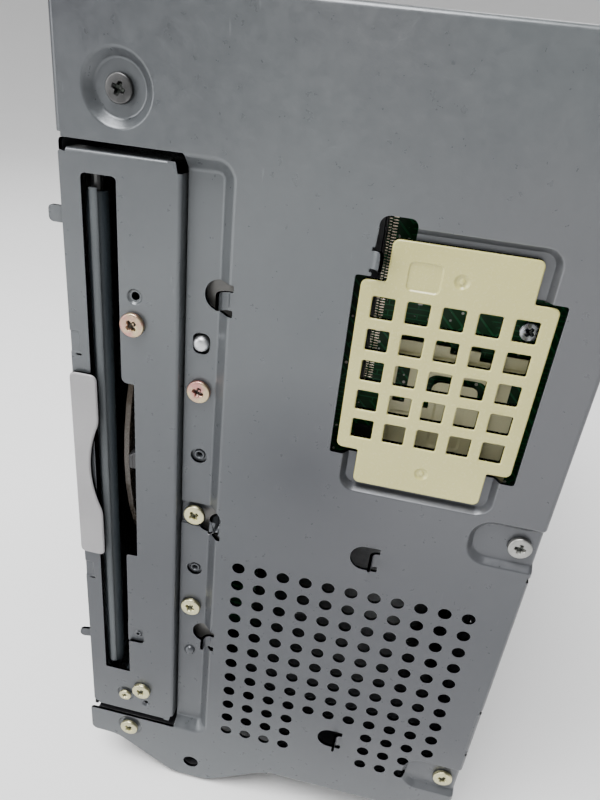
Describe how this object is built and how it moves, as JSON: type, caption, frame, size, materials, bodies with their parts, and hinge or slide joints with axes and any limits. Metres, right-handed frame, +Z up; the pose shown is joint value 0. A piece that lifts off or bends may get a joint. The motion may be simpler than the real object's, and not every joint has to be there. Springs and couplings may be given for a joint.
{
  "type": "compact desktop computer tower chassis",
  "caption": "Upright steel computer chassis with a slot-loading disc drive behind a bracket, a punched vent field and a cream grille cover on its front plate.",
  "frame": {"origin": "on the floor under the middle of the box that holds the tower", "axes": "+Z up, front plate towards -Y, +X to the right seen from the front"},
  "size_m": [0.1222, 0.206, 0.2245],
  "materials": {
    "plate_steel": "satin",
    "supply_steel": "satin",
    "cream_plastic": "satin",
    "white_plastic": "satin",
    "zinc_screw": "satin",
    "bright_steel": "bright",
    "black_plastic": "matte",
    "rubber": "matte",
    "smoke_plastic": "satin",
    "circuit_board": "satin",
    "beige_plastic": "matte",
    "aluminium": "satin"
  },
  "bodies": {
    "chassis": {"base_pan": "plate_steel", "board_connector": "black_plastic", "board_holder": "beige_plastic", "board_screw": "bright_steel", "channel_rivet": "plate_steel", "cpu_fan_frame": "black_plastic", "disc_guide": "smoke_plastic", "drive_belt": "rubber", "drive_bracket": "plate_steel", "drive_case": "bright_steel", "drive_lid": "bright_steel", "finger_relief_trim": "white_plastic", "foot_front_left": "rubber", "foot_front_right": "rubber", "foot_rear_left": "rubber", "foot_rear_right": "rubber", "front_board": "circuit_board", "front_plate": "plate_steel", "grille_cover": "cream_plastic", "guide_rod_lower": "bright_steel", "guide_rod_upper": "bright_steel", "hard_disk": "aluminium", "heatsink": "aluminium", "inlet_socket": "black_plastic", "left_cover": "plate_steel", "loading_motor": "bright_steel", "locating_pin": "bright_steel", "mainboard": "circuit_board", "memory_module": "circuit_board", "port_block": "black_plastic", "rear_fan_frame": "black_plastic", "rear_panel": "plate_steel", "right_cover": "plate_steel", "screw_bottom_left": "zinc_screw", "screw_bracket_lower": "zinc_screw", "screw_bracket_small": "zinc_screw", "screw_bracket_upper": "zinc_screw", "screw_channel_lower": "zinc_screw", "screw_channel_middle": "zinc_screw", "screw_channel_upper": "zinc_screw", "screw_edge_lower": "zinc_screw", "screw_edge_upper": "zinc_screw", "screw_top": "zinc_screw", "sled_motor": "bright_steel", "spindle_motor": "bright_steel", "supply_board": "circuit_board", "supply_case": "supply_steel", "switch_bezel": "black_plastic", "top_cover": "plate_steel"},
    "feed_roller": {"feed_roller": "rubber", "roller_shaft": "bright_steel"},
    "motor_pulley": {"motor_pulley": "black_plastic"},
    "spindle": {"spindle_hub": "black_plastic"},
    "pickup_sled": {"pickup_sled": "bright_steel"},
    "lead_screw": {"lead_screw": "bright_steel"},
    "rear_fan_rotor": {"rear_fan_rotor": "black_plastic"},
    "cpu_fan_rotor": {"cpu_fan_rotor": "black_plastic"},
    "rocker_switch": {"rocker_switch": "black_plastic"}
  },
  "joints": [
    {"name": "feed_roller_turn", "type": "hinge", "parent": "chassis", "child": "feed_roller", "pos_m": [-0.0512, -0.0954, 0.115], "axis": [0, 0, 1], "continuous": true},
    {"name": "motor_pulley_turn", "type": "hinge", "parent": "chassis", "child": "motor_pulley", "pos_m": [-0.0512, -0.0794, 0.038], "axis": [0, 0, 1], "continuous": true},
    {"name": "spindle_turn", "type": "hinge", "parent": "chassis", "child": "spindle", "pos_m": [-0.04805, -0.03, 0.1186], "axis": [1, 0, 0], "continuous": true},
    {"name": "sled_slide", "type": "slide", "parent": "chassis", "child": "pickup_sled", "axis": [0, 1, 0], "range_m": [0, 0.026]},
    {"name": "lead_screw_turn", "type": "hinge", "parent": "chassis", "child": "lead_screw", "pos_m": [-0.05165, 0.01, 0.0926], "axis": [0, 1, 0], "range_deg": [0, 3130]},
    {"name": "rear_fan_spin", "type": "hinge", "parent": "chassis", "child": "rear_fan_rotor", "pos_m": [0.02, 0.088, 0.078], "axis": [0, 1, 0], "continuous": true},
    {"name": "cpu_fan_spin", "type": "hinge", "parent": "chassis", "child": "cpu_fan_rotor", "pos_m": [-0.002, 0.017, 0.091], "axis": [1, 0, 0], "continuous": true},
    {"name": "switch_rock", "type": "hinge", "parent": "chassis", "child": "rocker_switch", "pos_m": [0.008, 0.0966, 0.196], "axis": [0, 0, -1], "range_deg": [0, 18]}
  ],
  "couplings": [
    {"joint": "motor_pulley_turn", "follows": "feed_roller_turn", "ratio": 1.6},
    {"joint": "lead_screw_turn", "follows": "sled_slide", "rad_per_m": 2094.4}
  ]
}
